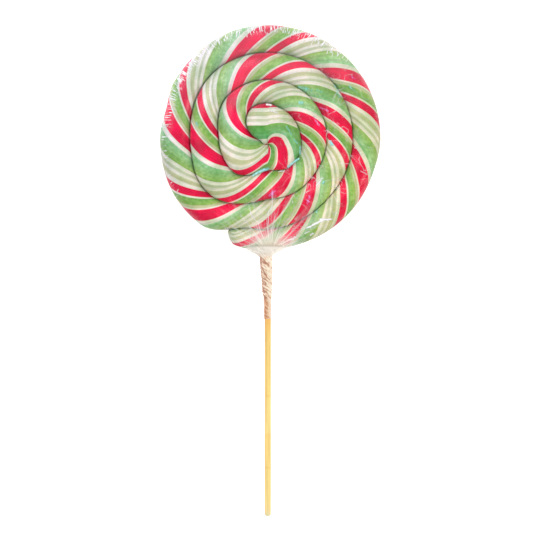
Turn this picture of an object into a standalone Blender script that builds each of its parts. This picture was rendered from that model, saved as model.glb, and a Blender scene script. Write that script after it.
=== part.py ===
"""Swirl lollipop: a twisted rope of pulled sugar coiled into a disc, on a thin wooden stick,
with the gathered and twisted neck of its clear film wrapper.

The lollipop lies on its back: +Z is up, the face looks up and the stick points to -Y.
The coil is laid out around its own centre at the rope's mid height, and the empty
"lollipop_frame" then puts the middle of the underside at the origin.
"""
import math

import bmesh
import bpy
from mathutils import Matrix, Vector

MM = 0.001

# ---- driving dimensions (millimetres, degrees) ----
DISC_RADIUS = 52.0          # outermost turn, measured from the coil centre
ROPE_CREST = 6.3            # top of the rope above the disc's mid plane
ROPE_FLAT = 5.9             # depth of the flattened underside below the mid plane
ROPE_HALF = 6.2             # half the distance from one groove to the next
GROOVE_ARC = 7.0            # radius of the rope's back across a groove
EDGE_ARC = 6.6              # radius of the rope's back at the rim
HEAD_RISE = 0.35            # extra height of the fused head in the middle

COIL_START = -113.0         # outer end of the rope, at the lower left of the stick
HEAD_START = 990.0          # from here on the rope is fused into the head
COIL_END = 1350.0           # the groove dies out here, just below the centre
STATION = 10.0              # angle between two sections of the rope
PIVOT = 3.2                 # radius at which the groove dies out
END_STATIONS = (-111.5, -108.5)   # closer sections round the corner of the outer end
END_ROUND = (4.8, 6.5)      # how far the outer end is rounded in, over how many degrees

# The coil keeps its radius and then steps: (first angle, last angle, step inwards).
COIL_STEPS = (
    (-100.0, -70.0, 0.8),
    (-20.0, 0.0, -0.8),
    (100.0, 150.0, 1.6),
    (150.0, 164.0, 1.6),
    (164.0, 182.0, -1.0),
    (182.0, 215.0, -0.9),
    (232.0, 260.0, 8.6),
    (262.0, 322.0, 3.2),
    (480.0, 542.0, 3.3),
    (548.0, 576.0, -1.8),
    (580.0, 636.0, 9.4),
    (648.0, 690.0, 1.1),
    (735.0, 785.0, 0.5),
    (850.0, 905.0, 4.1),
    (944.0, 986.0, 7.3),
    (996.0, 1022.0, -1.5),
    (1035.0, 1105.0, 2.0),
    (1145.0, 1175.0, -1.2),
    (1188.0, 1288.0, 12.2),
    (1288.0, 1350.0, 0.2),
)

STICK_RADIUS = 1.5
STICK_END = -174.0          # free end
STICK_TOP = -28.0           # the end inside the candy
STICK_DOME = 1.1
SOCKET_GAP = 0.3

NECK_TOP = -52.95           # mouth of the gathered film, just under the rim
NECK_END = -83.5
NECK_BORE = 1.8
NECK_TAIL = 20.5             # below this the film lies flat on the stick
NECK_FLUTES = 3
NECK_TWIST = 430.0          # degrees the neck is twisted from the mouth to its tail
# Profile of the gathered film: (distance below the mouth, radius, flute depth).
NECK_PROFILE = (
    (0.0, 4.5, 0.30),
    (0.9, 3.4, 0.30),
    (2.0, 2.60, 0.24),
    (8.5, 2.55, 0.24),
    (15.0, 2.35, 0.20),
    (20.5, 2.15, 0.10),
    (22.0, 2.08, 0.02),
    (30.55, 2.05, 0.0),
)


def smooth(x):
    x = min(max(x, 0.0), 1.0)
    return x * x * (3.0 - 2.0 * x)


def coil_radius(angle):
    """Radius of the line between two turns of the rope, or of the rim on the first turn."""
    radius = DISC_RADIUS
    for first, last, step in COIL_STEPS:
        radius -= step * smooth((angle - first) / (last - first))
    depth, span = END_ROUND
    left = max(1.0 - (angle - COIL_START) / span, 0.0)
    return radius - depth * left * left


def inner_radius(angle):
    """Radius of the rope's inner side: the next turn's line, or the middle of the head."""
    if angle + 360.0 <= COIL_END:
        return coil_radius(angle + 360.0)
    across = math.cos(math.radians(angle - HEAD_START) / 2.0)
    return PIVOT * (0.35 + 0.65 * across * across)


def polar(radius, angle):
    turn = math.radians(angle)
    return radius * math.cos(turn), radius * math.sin(turn)


def line_distance(x, y, line):
    best = 1e9
    for (ax, ay), (bx, by) in zip(line, line[1:]):
        ux, uy = bx - ax, by - ay
        along = ((x - ax) * ux + (y - ay) * uy) / (ux * ux + uy * uy)
        along = min(max(along, 0.0), 1.0)
        best = min(best, math.hypot(x - ax - along * ux, y - ay - along * uy))
    return best


# Sections at even steps back from the groove's end, and closer ones at the rope's outer end;
# those are repeated on every turn, so that neighbouring turns share their points.
evenly = int((COIL_END - COIL_START) / STATION)
stations = {COIL_END - STATION * k for k in range(evenly + 1)}
for extra in (COIL_START,) + END_STATIONS:
    stations |= {extra + 360.0 * k for k in range(5) if extra + 360.0 * k < COIL_END}
stations = sorted(stations)

rim_line = [polar(coil_radius(a), a) for a in stations if a <= COIL_START + 360.01]
groove_line = [polar(coil_radius(a), a) for a in stations if a >= COIL_START + 359.99]


def rope_height(x, y):
    """Half height of the candy over a point of its plan."""
    groove = line_distance(x, y, groove_line)
    rim = line_distance(x, y, rim_line)
    back = max((ROPE_HALF - groove) / GROOVE_ARC, (EDGE_ARC - rim) / EDGE_ARC, 0.0)
    rise = HEAD_RISE * smooth((groove - ROPE_HALF) / 4.0)
    return (ROPE_CREST + rise) * math.sqrt(max(1.0 - back * back, 0.0))


def rope_skin(bm, rows, height):
    """One side of the candy: the rope's sections joined along the coil, with the head's middle."""
    middle = bm.verts.new((0.0, 0.0, height(0.0, 0.0)))
    last = None
    for angle in stations:
        inside, outside = inner_radius(angle), coil_radius(angle)
        section = []
        for row in rows:
            x, y = polar(inside + (outside - inside) * row, angle)
            on_rim = row == 1.0 and angle <= COIL_START + 360.01
            section.append(bm.verts.new((x, y, 0.0 if on_rim else height(x, y))))
        if last:
            for k in range(len(rows) - 1):
                bm.faces.new((last[k], last[k + 1], section[k + 1], section[k]))
            if angle > HEAD_START:
                bm.faces.new((middle, last[0], section[0]))
        last = section


def material(name, colour, roughness, transmission=0.0):
    mat = bpy.data.materials.new(name)
    mat.use_nodes = True
    shader = mat.node_tree.nodes["Principled BSDF"]
    shader.inputs["Base Color"].default_value = (*colour, 1.0)
    shader.inputs["Roughness"].default_value = roughness
    shader.inputs["Metallic"].default_value = 0.0
    shader.inputs["Transmission Weight"].default_value = transmission
    mat.diffuse_color = (*colour, 1.0)
    return mat


def place(name, bm, mat, parent, sharp=40.0):
    bmesh.ops.scale(bm, vec=(MM, MM, MM), verts=bm.verts)
    mesh = bpy.data.meshes.new(name)
    bm.to_mesh(mesh)
    bm.free()
    mesh.materials.append(mat)
    mesh.shade_smooth()
    mesh.set_sharp_from_angle(angle=math.radians(sharp))
    obj = bpy.data.objects.new(name, mesh)
    bpy.context.scene.collection.objects.link(obj)
    obj.parent = parent
    return obj


for old in list(bpy.data.objects):
    bpy.data.objects.remove(old, do_unlink=True)

frame = bpy.data.objects.new("lollipop_frame", None)
bpy.context.scene.collection.objects.link(frame)

# ---- candy: the coiled rope, its turns fused side by side, the underside pressed flat ----
top_rows = [0.5 + 0.5 * math.cos(math.radians(168.0 - 15.6 * k)) / math.cos(math.radians(12.0))
            for k in range(11)]
top_rows[0], top_rows[-1] = 0.0, 1.0
under_rows = [0.0, 0.1, 0.3, 0.7, 0.9, 1.0]

bm = bmesh.new()
rope_skin(bm, top_rows, rope_height)
rope_skin(bm, under_rows, lambda x, y: -min(rope_height(x, y), ROPE_FLAT))
bmesh.ops.remove_doubles(bm, verts=bm.verts, dist=0.02)
bmesh.ops.dissolve_degenerate(bm, edges=bm.edges, dist=0.005)
# The blunt outer end of the rope is the only opening left in the skin.
bmesh.ops.holes_fill(bm, edges=[e for e in bm.edges if e.is_boundary], sides=0)
bmesh.ops.triangulate(bm, faces=bm.faces)
bmesh.ops.recalc_face_normals(bm, faces=bm.faces)
candy = place("candy", bm, material("sugar", (0.62, 0.42, 0.30), 0.25), frame)

# The stick's blind socket runs in from the rim at mid height.
bm = bmesh.new()
depth = 60.0 + STICK_TOP + SOCKET_GAP
bmesh.ops.create_cone(
    bm, cap_ends=True, segments=20, radius1=STICK_RADIUS + SOCKET_GAP, radius2=STICK_RADIUS + SOCKET_GAP,
    depth=depth, matrix=Matrix.Translation((0.0, -60.0 + depth / 2.0, 0.0)) @ Matrix.Rotation(math.radians(90.0), 4, "X"))
socket = place("socket_cutter", bm, candy.data.materials[0], frame)
socket.hide_render = True
socket.display_type = "WIRE"
cut = candy.modifiers.new("socket", "BOOLEAN")
cut.operation = "DIFFERENCE"
cut.solver = "EXACT"
cut.object = socket

# ---- stick: a plain round dowel with a domed free end ----
bm = bmesh.new()
length = STICK_TOP - STICK_END
bmesh.ops.create_cone(
    bm, cap_ends=True, segments=24, radius1=STICK_RADIUS, radius2=STICK_RADIUS, depth=length,
    matrix=Matrix.Translation((0.0, STICK_END + length / 2.0, 0.0)) @ Matrix.Rotation(math.radians(90.0), 4, "X"))
end_ring = [e for e in bm.edges if all(v.co.y < STICK_END + 0.01 for v in e.verts)]
bmesh.ops.bevel(bm, geom=end_ring, offset=STICK_DOME, segments=4, profile=0.5, affect="EDGES")
bmesh.ops.recalc_face_normals(bm, faces=bm.faces)
stick = place("stick", bm, material("birch", (0.86, 0.60, 0.28), 0.6), frame)

# ---- wrapper: film gathered under the rim and twisted round the stick ----
bm = bmesh.new()


def neck_ring(drop, radius_of, segments=24):
    ring = bmesh.ops.create_circle(bm, segments=segments, radius=1.0)["verts"]
    for vert in ring:
        around = math.atan2(vert.co.y, vert.co.x)
        radius = radius_of(around)
        vert.co = Vector((radius * math.cos(around), NECK_TOP - drop, radius * math.sin(around)))
    return list({edge for vert in ring for edge in vert.link_edges})


def neck_section(drop):
    for (d0, r0, f0), (d1, r1, f1) in zip(NECK_PROFILE, NECK_PROFILE[1:]):
        if drop <= d1:
            part = (drop - d0) / (d1 - d0)
            radius, flute = r0 + (r1 - r0) * part, f0 + (f1 - f0) * part
            break
    turned = math.radians(NECK_TWIST) * min(drop, NECK_TAIL) / NECK_TAIL
    return lambda around: radius + flute * math.cos(NECK_FLUTES * (around + turned))


drops = sorted({p[0] for p in NECK_PROFILE} | {2.0 + 1.3 * k for k in range(1, 15)})
rings = [neck_ring(drop, neck_section(drop)) for drop in drops]
bore = [neck_ring(drops[-1], lambda around: NECK_BORE), neck_ring(0.0, lambda around: NECK_BORE)]
shells = rings + bore
for one, two in zip(shells, shells[1:] + shells[:1]):
    bmesh.ops.bridge_loops(bm, edges=one + two)
bmesh.ops.recalc_face_normals(bm, faces=bm.faces)
wrapper = place("wrapper", bm, material("film", (0.90, 0.86, 0.80), 0.15, 0.6), frame, sharp=60.0)

# ---- put the middle of the underside at the origin ----
bpy.context.view_layer.update()
corners = [obj.matrix_world @ vert.co for obj in (candy, stick, wrapper) for vert in obj.data.vertices]
lowest = [min(c[i] for c in corners) for i in range(3)]
highest = [max(c[i] for c in corners) for i in range(3)]
frame.location = (-(lowest[0] + highest[0]) / 2.0, -(lowest[1] + highest[1]) / 2.0, -lowest[2])
bpy.context.view_layer.update()
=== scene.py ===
import math

import bmesh
import bpy
import numpy as np
from mathutils import Matrix, Vector


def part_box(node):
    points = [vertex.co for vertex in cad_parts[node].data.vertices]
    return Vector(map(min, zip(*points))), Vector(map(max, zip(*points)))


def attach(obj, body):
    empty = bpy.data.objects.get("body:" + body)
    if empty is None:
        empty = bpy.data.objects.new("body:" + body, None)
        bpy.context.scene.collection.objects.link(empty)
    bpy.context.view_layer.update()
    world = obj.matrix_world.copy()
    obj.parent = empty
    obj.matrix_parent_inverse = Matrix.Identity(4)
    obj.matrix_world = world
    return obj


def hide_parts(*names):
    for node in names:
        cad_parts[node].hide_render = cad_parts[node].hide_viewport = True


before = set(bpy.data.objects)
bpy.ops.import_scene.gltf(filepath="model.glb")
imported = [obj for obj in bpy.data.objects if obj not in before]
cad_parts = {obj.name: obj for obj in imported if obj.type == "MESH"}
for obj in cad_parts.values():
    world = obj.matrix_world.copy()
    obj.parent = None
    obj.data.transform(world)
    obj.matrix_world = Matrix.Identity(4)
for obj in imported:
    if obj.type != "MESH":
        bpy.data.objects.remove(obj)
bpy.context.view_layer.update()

scene = bpy.context.scene

# ---------------------------------------------------------------------------
# The rope of pulled sugar
# One long rope, striped crimson, green and cream, is twisted as it is pulled and laid
# round itself while warm, so its turns fuse side by side. Lengths are in millimetres
# from the coil's centre, angles in degrees; the outer end lies beside the stick.
# ---------------------------------------------------------------------------
MM = 0.001
DISC_RADIUS = 52.0
ROPE_CREST = 6.3
ROPE_HALF = 6.2
GROOVE_ARC = 7.0
EDGE_ARC = 6.6
HEAD_RISE = 0.35
COIL_START, HEAD_START, COIL_END = -113.0, 990.0, 1350.0
END_DEPTH, END_SPAN = 4.8, 6.5     # the outer end is rounded in, over so many degrees
PIVOT = 3.2
# The coil keeps its radius and then steps: (first angle, last angle, step inwards).
COIL_STEPS = (
    (-100.0, -70.0, 0.8),
    (-20.0, 0.0, -0.8),
    (100.0, 150.0, 1.6),
    (150.0, 164.0, 1.6),
    (164.0, 182.0, -1.0),
    (182.0, 215.0, -0.9),
    (232.0, 260.0, 8.6),
    (262.0, 322.0, 3.2),
    (480.0, 542.0, 3.3),
    (548.0, 576.0, -1.8),
    (580.0, 636.0, 9.4),
    (648.0, 690.0, 1.1),
    (735.0, 785.0, 0.5),
    (850.0, 905.0, 4.1),
    (944.0, 986.0, 7.3),
    (996.0, 1022.0, -1.5),
    (1035.0, 1105.0, 2.0),
    (1145.0, 1175.0, -1.2),
    (1188.0, 1288.0, 12.2),
    (1288.0, 1350.0, 0.2),
)
STATION = 2.5
SUGAR_INSET = 0.34          # the sugar lies this far inside the film
RIM_INSET = 0.14
# Each turn dips under the turn inside it: how round its back is down to its own inner
# groove, and down to its outer one (1 is a half circle).
DIP_INSIDE, DIP_OUTSIDE = 0.985, 0.86

stick_low, stick_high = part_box("stick")
candy_low, candy_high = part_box("candy")
coil_centre = Vector((
    (stick_low[0] + stick_high[0]) / 2.0,
    candy_high[1] - DISC_RADIUS * MM,
    (stick_low[2] + stick_high[2]) / 2.0,
))
FLAT = coil_centre.z / MM   # depth of the flattened underside


def eased(x):
    x = np.clip(x, 0.0, 1.0)
    return x * x * (3.0 - 2.0 * x)


def coil_radius(angle):
    """Radius of the line between two turns, or of the rim on the first turn."""
    radius = np.full_like(np.asarray(angle, float), DISC_RADIUS)
    for first, last, step in COIL_STEPS:
        radius = radius - step * eased((angle - first) / (last - first))
    left = np.maximum(1.0 - (angle - COIL_START) / END_SPAN, 0.0)
    return radius - END_DEPTH * left * left


def inner_radius(angle):
    return np.where(angle + 360.0 <= COIL_END, coil_radius(angle + 360.0), 0.0)


def plan(radius, angle):
    turn = np.radians(angle)
    return np.stack([radius * np.cos(turn), radius * np.sin(turn)], axis=-1)


def gap_to(points, line):
    """Distance from each point of the plan to a line drawn through many points."""
    start, run = line[:-1], line[1:] - line[:-1]
    best = np.full(len(points), 1e9)
    for a, u in zip(start, run):
        along = np.clip(((points - a) @ u) / (u @ u), 0.0, 1.0)
        best = np.minimum(best, np.hypot(*(points - a - along[:, None] * u).T))
    return best


rim_angles = np.arange(COIL_START, COIL_START + 360.1, 2.5)
rim_line = plan(coil_radius(rim_angles), rim_angles)
groove_angles = np.arange(COIL_START + 360.0, COIL_END + 0.1, 2.5)
groove_line = plan(coil_radius(groove_angles), groove_angles)


def rope_height(points, dip=ROPE_HALF / GROOVE_ARC, bridge=0.0):
    """Half height of the disc over points of the plan; bridge spans the grooves, as film does."""
    groove = np.maximum(gap_to(points, groove_line), bridge)
    rim = gap_to(points, rim_line)
    back = np.maximum(dip * (1.0 - groove / ROPE_HALF), (EDGE_ARC - rim) / EDGE_ARC)
    rise = HEAD_RISE * eased((groove - ROPE_HALF) / 4.0)
    return (ROPE_CREST + rise) * np.sqrt(np.clip(1.0 - np.maximum(back, 0.0) ** 2, 0.0, 1.0))


# Where each stripe lies is counted in turns of twist: PITCH of rope to a full turn, a
# slacker and a tighter stretch where it was laid down, and hardly any at the tip.
PITCH = 46.1
TWIST_START = 0.692 - 28.5 / PITCH
TWIST_SLACK = (
    (152.0, 221.0, 0.31), (250.0, 275.0, -0.03), (335.0, 357.0, -0.11), (357.0, 400.0, 0.11),
    (396.0, 412.0, 0.045), (499.0, 538.0, -0.27),
)
# Turns of twist round the head, by the angle swept from where the rope runs into it.
HEAD_TWIST = ((0.0, 0.0), (35.0, 0.225), (51.0, 0.289), (115.0, 0.484), (180.0, 0.834))

fine = np.arange(COIL_START, COIL_END + 0.1, 0.5)
middle = (coil_radius(fine) + np.where(fine < HEAD_START, inner_radius(fine), coil_radius(fine) - 2 * ROPE_HALF)) / 2.0
path = plan(middle, fine)
laid = np.concatenate([[0.0], np.cumsum(np.hypot(*np.diff(path, axis=0).T))])
laid = laid - np.interp(-110.0, fine, laid)


def twist(length):
    turns = TWIST_START + length / PITCH
    for first, last, wrinkle_glint in TWIST_SLACK:
        turns = turns - wrinkle_glint * eased((length - first) / (last - first))
    return turns


RIM_LAG = 0.035


def stripe_lag(across, half=0.0):
    """Turns by which a stripe trails from the rope's outer side (1) to its inner one (0)."""
    off = np.clip(2.0 * across - 1.0, -1.0, 1.0)
    rounded = np.arcsin(off * 0.93) / math.asin(0.93)
    laid_over = 0.06 + 0.19 * (1.0 - (0.5 * off + 0.5 * rounded))
    past_rim = 0.25 - (0.3 * off + 0.7 * np.arcsin(off) / (math.pi / 2.0)) * (0.25 - RIM_LAG)
    return np.where((off > 0.0) & (half > 0.0), past_rim, laid_over)


head_twist = float(twist(np.interp(HEAD_START, fine, laid)))
head_angles = np.arange(HEAD_START, 1262.0, 2.5)
head_edge = plan(coil_radius(head_angles), head_angles) + np.array([0.0, PIVOT])
head_turn = np.unwrap(np.arctan2(head_edge[:, 1], head_edge[:, 0]))
head_reach = np.hypot(*head_edge.T)


def head_stripe(points):
    """Stripe position over the fused head, where the stripes swing round the groove's end."""
    x, y = points[:, 0], points[:, 1] + PIVOT
    around = np.arctan2(y, x)
    around = np.where(around < -math.pi / 2 - 1e-6, around + 2 * math.pi, around)
    side = np.hypot(x, y) / np.interp(around, head_turn, head_reach)
    tip = np.clip(y, 0.0, None) / np.interp(math.pi / 2, head_turn, head_reach)
    across = np.where(around > math.pi / 2, tip, side)
    sweep = np.degrees(np.minimum(around, math.pi / 2)) + 90.0
    turns = head_twist + np.interp(sweep, *zip(*HEAD_TWIST))
    into = eased(sweep / 70.0)
    reach, curve = np.interp(sweep, (90.0, 180.0), (0.45, 0.60)), np.interp(sweep, (90.0, 180.0), (1.40, 0.95))
    fused = 0.06 + reach * np.clip(1.0 - across, 0.0, 1.0) ** curve
    return turns - (stripe_lag(across) * (1.0 - into) + fused * into)


# Where the green lies thickest outside the head: (x, y, how far it reaches, depth).
THICK_GREEN = (
    (-46.9, -4.3, 9.0, 0.40), (26.5, 20.9, 9.0, 0.42), (35.8, 23.8, 6.0, 0.50), (-26.7, -11.4, 8.0, 0.38),
    (-6.6, -21.5, 8.0, 0.32), (-32.5, -30.1, 8.0, 0.36), (30.8, -1.4, 10.0, 0.36), (15.0, -11.4, 6.0, 0.38),
    (-16.7, -5.7, 7.0, 0.32), (45.1, -21.5, 6.0, 0.38), (37.9, -35.9, 6.0, 0.50), (-40.0, 18.0, 8.0, 0.25),
)


def rope_skin(bm, uv, painted_shade_layer, deep, rows, underside):
    """One side of the coil: a grid wrapped round the coil, one column to a station."""
    stations = np.arange(COIL_START, COIL_END + 0.1, STATION)
    made = bmesh.ops.create_grid(bm, x_segments=len(stations) - 1, y_segments=rows - 1, size=1.0)["verts"]
    flat = np.array([v.co[:2] for v in made])
    column = np.rint((flat[:, 0] + 1.0) / 2.0 * (len(stations) - 1)).astype(int)
    row = (flat[:, 1] + 1.0) / 2.0
    order = np.rint(row * (rows - 1)).astype(int)
    side = 0.5 - 0.5 * np.cos(np.pi * np.maximum(order - 1, 0) / (rows - 2))
    side = np.where(order == 1, 0.012, side)
    angle = stations[column]
    outer, inner = coil_radius(angle), inner_radius(angle)
    points = plan(inner + (outer - inner) * side, angle)
    inside = (order > 0) & (side < 0.5)
    dip = DIP_OUTSIDE + (DIP_INSIDE - DIP_OUTSIDE) * np.where(inside, 1.0 - eased((angle - 925.0) / 65.0), 0.0)
    height = rope_height(points, dip)
    over_stick = (np.abs(points[:, 0]) < 2.6) & (points[:, 1] < -25.0) & (np.hypot(*points.T) < 46.0)
    height = np.where(over_stick, np.maximum(height, 2.1), height)
    # The sugar sits a little inside the film, most of all round the rim.
    rim = gap_to(points, rim_line)
    drawn_in = 1.0 - (RIM_INSET / np.hypot(*points.T)) * eased(1.0 - rim / 7.0)
    height = np.maximum(height - SUGAR_INSET, 0.0) if not underside else -np.minimum(np.maximum(height - SUGAR_INSET, 0.0), FLAT - 0.12)
    # Round the rope from its outer side: 0 outside, a quarter turn at the crest.
    around = stripe_lag(side, np.where(angle <= COIL_START + 360.0, 1.0, 0.0))
    length = np.interp(angle, fine, laid)
    stripe = twist(length) - (around if not underside else 2.0 * RIM_LAG - around)
    if not underside:
        stripe = np.where(angle >= HEAD_START, head_stripe(points), stripe)
    # Painted shade in the joints between turns, deepest on the side that dips under.
    groove = gap_to(points, groove_line)
    painted_shade = np.where(inside & (angle < HEAD_START), 0.60 * np.exp(-groove / 0.85), 0.34 * np.exp(-groove / 0.35))
    # The painted shade in the joints is faintest towards the lower right and deepest towards the left.
    painted_shade = painted_shade * (0.30 + 0.70 * eased(0.5 - 0.6 * np.cos(np.radians(angle + 25.0))))
    # Painted shade down the side of the rim, faint at the top, where most light falls, and left out beside the neck.
    lit = eased((angle - 15.0) / 35.0) * eased((195.0 - angle) / 25.0)
    by_neck = eased((11.0 - np.abs(points[:, 0])) / 6.0) * (points[:, 1] < -30.0)
    painted_shade = np.maximum(painted_shade, 0.50 * (1.0 - 0.75 * lit) * (1.0 - by_neck) * np.exp(-rim / 1.6))
    # Painted shade at the rounded outer end of the rope.
    painted_shade = np.maximum(painted_shade, 0.45 * np.exp(-(angle - COIL_START) / 1.5))
    # More painted shade on the rim towards the left and lower left.
    far_side = eased((angle - 165.0) / 18.0) * eased((228.0 - angle) / 14.0)
    painted_shade = np.maximum(painted_shade, 0.34 * far_side * np.exp(-(rim / 4.5) ** 2))
    # The green is deepest in colour where it is thickest: in the head, and in a few places more.
    thick = np.interp(angle, (955.0, 1000.0, 1020.0, 1080.0, 1140.0, 1200.0, 1260.0), (0.0, 0.60, 0.85, 0.70, 0.62, 1.0, 0.8))
    for x, y, reach, depth in THICK_GREEN:
        thick = np.maximum(thick, depth * np.exp(-((points[:, 0] - x) ** 2 + (points[:, 1] - y) ** 2) / reach ** 2))
    for vert, (x, y), z, pull, dark, full in zip(made, points, height, drawn_in, painted_shade, thick):
        vert.co = (x * pull, y * pull, z)
        vert[painted_shade_layer], vert[deep] = float(dark), float(full)
    where = {vert: (float(s), float(l)) for vert, s, l in zip(made, stripe, length / 10.0)}
    for face in {f for v in made for f in v.link_faces}:
        for loop in face.loops:
            loop[uv].uv = where[loop.vert]


bm = bmesh.new()
uv = bm.loops.layers.uv.new("twist")
painted_shade_layer, deep = bm.verts.layers.float.new("painted_shade_layer"), bm.verts.layers.float.new("deep")
rope_skin(bm, uv, painted_shade_layer, deep, 25, False)
rope_skin(bm, uv, painted_shade_layer, deep, 15, True)
bmesh.ops.remove_doubles(bm, verts=bm.verts, dist=0.004)
bmesh.ops.dissolve_degenerate(bm, edges=bm.edges, dist=0.002)
filled = bmesh.ops.holes_fill(bm, edges=[e for e in bm.edges if e.is_boundary], sides=0)["faces"]
bmesh.ops.recalc_face_normals(bm, faces=bm.faces)
bmesh.ops.scale(bm, vec=(MM, MM, MM), verts=bm.verts)
bmesh.ops.translate(bm, vec=coil_centre, verts=bm.verts)
mesh = bpy.data.meshes.new("sugar_rope")
bm.to_mesh(mesh)
bm.free()
mesh.shade_smooth()
rope = bpy.data.objects.new("sugar_rope", mesh)
scene.collection.objects.link(rope)

SUGAR_COLOURS = {
    "crimson": (0.888, 0.003, 0.070),
    "mint": (0.345, 0.625, 0.318),
    "green": (0.258, 0.507, 0.125),
    "leaf": (0.345, 0.525, 0.122),
    "pale": (0.580, 0.620, 0.420),
    "olive": (0.560, 0.585, 0.335),
    "cream": (0.822, 0.788, 0.685),
}
# Stripes round one turn of the rope: (where it begins, colour there, colour at its end).
STRIPES = (
    (0.000, "crimson", "crimson"), (0.110, "cream", "cream"), (0.137, "green", "leaf"),
    (0.249, "olive", "olive"), (0.296, "cream", "cream"), (0.318, "crimson", "crimson"),
    (0.492, "cream", "cream"), (0.560, "mint", "leaf"), (0.750, "cream", "cream"),
    (0.800, "pale", "pale"), (0.838, "cream", "cream"), (0.880, "olive", "olive"), (0.942, "cream", "cream"),
)
STRIPE_BLEND = 0.007

sugar = bpy.data.materials.new("pulled_sugar")
sugar.use_nodes = True
nodes, links = sugar.node_tree.nodes, sugar.node_tree.links
shader = nodes["Principled BSDF"]
uv_map = nodes.new("ShaderNodeUVMap")
uv_map.uv_map = "twist"
split = nodes.new("ShaderNodeSeparateXYZ")
links.new(uv_map.outputs["UV"], split.inputs[0])


def node_math(operation, one, two=None):
    node = nodes.new("ShaderNodeMath")
    node.operation = operation
    for socket, value in zip(node.inputs, (one, two)):
        if value is None:
            continue
        if isinstance(value, (int, float)):
            socket.default_value = value
        else:
            links.new(value, socket)
    return node.outputs[0]


def streaks(stripe_scale, length_scale, detail):
    """Noise drawn out along the stripes."""
    joined = nodes.new("ShaderNodeCombineXYZ")
    links.new(node_math("MULTIPLY", split.outputs[0], stripe_scale), joined.inputs[0])
    links.new(node_math("MULTIPLY", split.outputs[1], length_scale), joined.inputs[1])
    grain = nodes.new("ShaderNodeTexNoise")
    grain.inputs["Scale"].default_value = 1.0
    grain.inputs["Detail"].default_value = detail
    links.new(joined.outputs[0], grain.inputs["Vector"])
    return grain.outputs["Fac"]


wander = node_math("MULTIPLY", node_math("SUBTRACT", streaks(6.0, 0.9, 1.0), 0.5), 0.022)
ramp = nodes.new("ShaderNodeValToRGB")
ramp.color_ramp.interpolation = "LINEAR"
stops = ramp.color_ramp.elements
stops[0].position, stops[0].color = 0.0, (*SUGAR_COLOURS["cream"], 1.0)
stops[1].position, stops[1].color = 1.0, (*SUGAR_COLOURS["cream"], 1.0)
for k, (begins, first, last) in enumerate(STRIPES):
    ends = STRIPES[k + 1][0] if k + 1 < len(STRIPES) else 1.0
    for place, colour in ((begins + STRIPE_BLEND / 2.0, first), (ends - STRIPE_BLEND / 2.0, last)):
        stops.new(place).color = (*SUGAR_COLOURS[colour], 1.0)
links.new(node_math("FRACT", node_math("ADD", split.outputs[0], wander)), ramp.inputs[0])
satin = nodes.new("ShaderNodeMapRange")
satin.inputs["From Min"].default_value, satin.inputs["From Max"].default_value = 0.25, 0.75
satin.inputs["To Min"].default_value, satin.inputs["To Max"].default_value = 0.80, 1.14
links.new(streaks(30.0, 0.45, 4.0), satin.inputs["Value"])
tone = nodes.new("ShaderNodeMix")
tone.data_type, tone.blend_type = "RGBA", "MULTIPLY"
tone.inputs["Factor"].default_value = 1.0
links.new(ramp.outputs["Color"], tone.inputs[6])
links.new(satin.outputs["Result"], tone.inputs[7])
mottle = nodes.new("ShaderNodeTexNoise")
mottle.inputs["Scale"].default_value = 1100.0
mottle.inputs["Detail"].default_value = 2.0
place = nodes.new("ShaderNodeTexCoord")
links.new(place.outputs["Object"], mottle.inputs["Vector"])
clouded = nodes.new("ShaderNodeMapRange")
clouded.inputs["From Min"].default_value, clouded.inputs["From Max"].default_value = 0.3, 0.7
clouded.inputs["To Min"].default_value, clouded.inputs["To Max"].default_value = 0.93, 1.05
links.new(mottle.outputs["Fac"], clouded.inputs["Value"])
grained = nodes.new("ShaderNodeMix")
grained.data_type, grained.blend_type = "RGBA", "MULTIPLY"
grained.inputs["Factor"].default_value = 1.0
links.new(tone.outputs[2], grained.inputs[6])
links.new(clouded.outputs["Result"], grained.inputs[7])
cloud = nodes.new("ShaderNodeTexNoise")
cloud.inputs["Scale"].default_value = 95.0
cloud.inputs["Detail"].default_value = 2.0
links.new(place.outputs["Object"], cloud.inputs["Vector"])
drift = nodes.new("ShaderNodeValToRGB")
drift.color_ramp.elements[0].position, drift.color_ramp.elements[0].color = 0.37, (0.78, 0.86, 0.74, 1.0)
drift.color_ramp.elements[1].position, drift.color_ramp.elements[1].color = 0.63, (1.16, 1.08, 1.16, 1.0)
links.new(cloud.outputs["Fac"], drift.inputs[0])
clouded_tone = nodes.new("ShaderNodeMix")
clouded_tone.data_type, clouded_tone.blend_type = "RGBA", "MULTIPLY"
clouded_tone.inputs["Factor"].default_value = 1.0
links.new(grained.outputs[2], clouded_tone.inputs[6])
links.new(drift.outputs["Color"], clouded_tone.inputs[7])
# Painted light: the colour is cooler towards the upper left and warmer towards the lower right, as the light falls
# there.
spot = nodes.new("ShaderNodeSeparateXYZ")
links.new(place.outputs["Object"], spot.inputs[0])
aslant = nodes.new("ShaderNodeMapRange")
aslant.inputs["From Min"].default_value, aslant.inputs["From Max"].default_value = -0.055, 0.055
links.new(node_math("SUBTRACT", node_math("MULTIPLY", node_math("SUBTRACT", spot.outputs[1], coil_centre.y), 0.7),
                    node_math("MULTIPLY", spot.outputs[0], 0.7)), aslant.inputs["Value"])
painted_light_tint = nodes.new("ShaderNodeValToRGB")
painted_light_tint.color_ramp.elements[0].position, painted_light_tint.color_ramp.elements[0].color = 0.0, (0.99, 0.99, 0.76, 1.0)
painted_light_tint.color_ramp.elements[1].position, painted_light_tint.color_ramp.elements[1].color = 1.0, (0.98, 1.0, 1.16, 1.0)
links.new(aslant.outputs["Result"], painted_light_tint.inputs[0])
painted_light_toned = nodes.new("ShaderNodeMix")
painted_light_toned.data_type, painted_light_toned.blend_type = "RGBA", "MULTIPLY"
painted_light_toned.inputs["Factor"].default_value = 1.0
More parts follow.
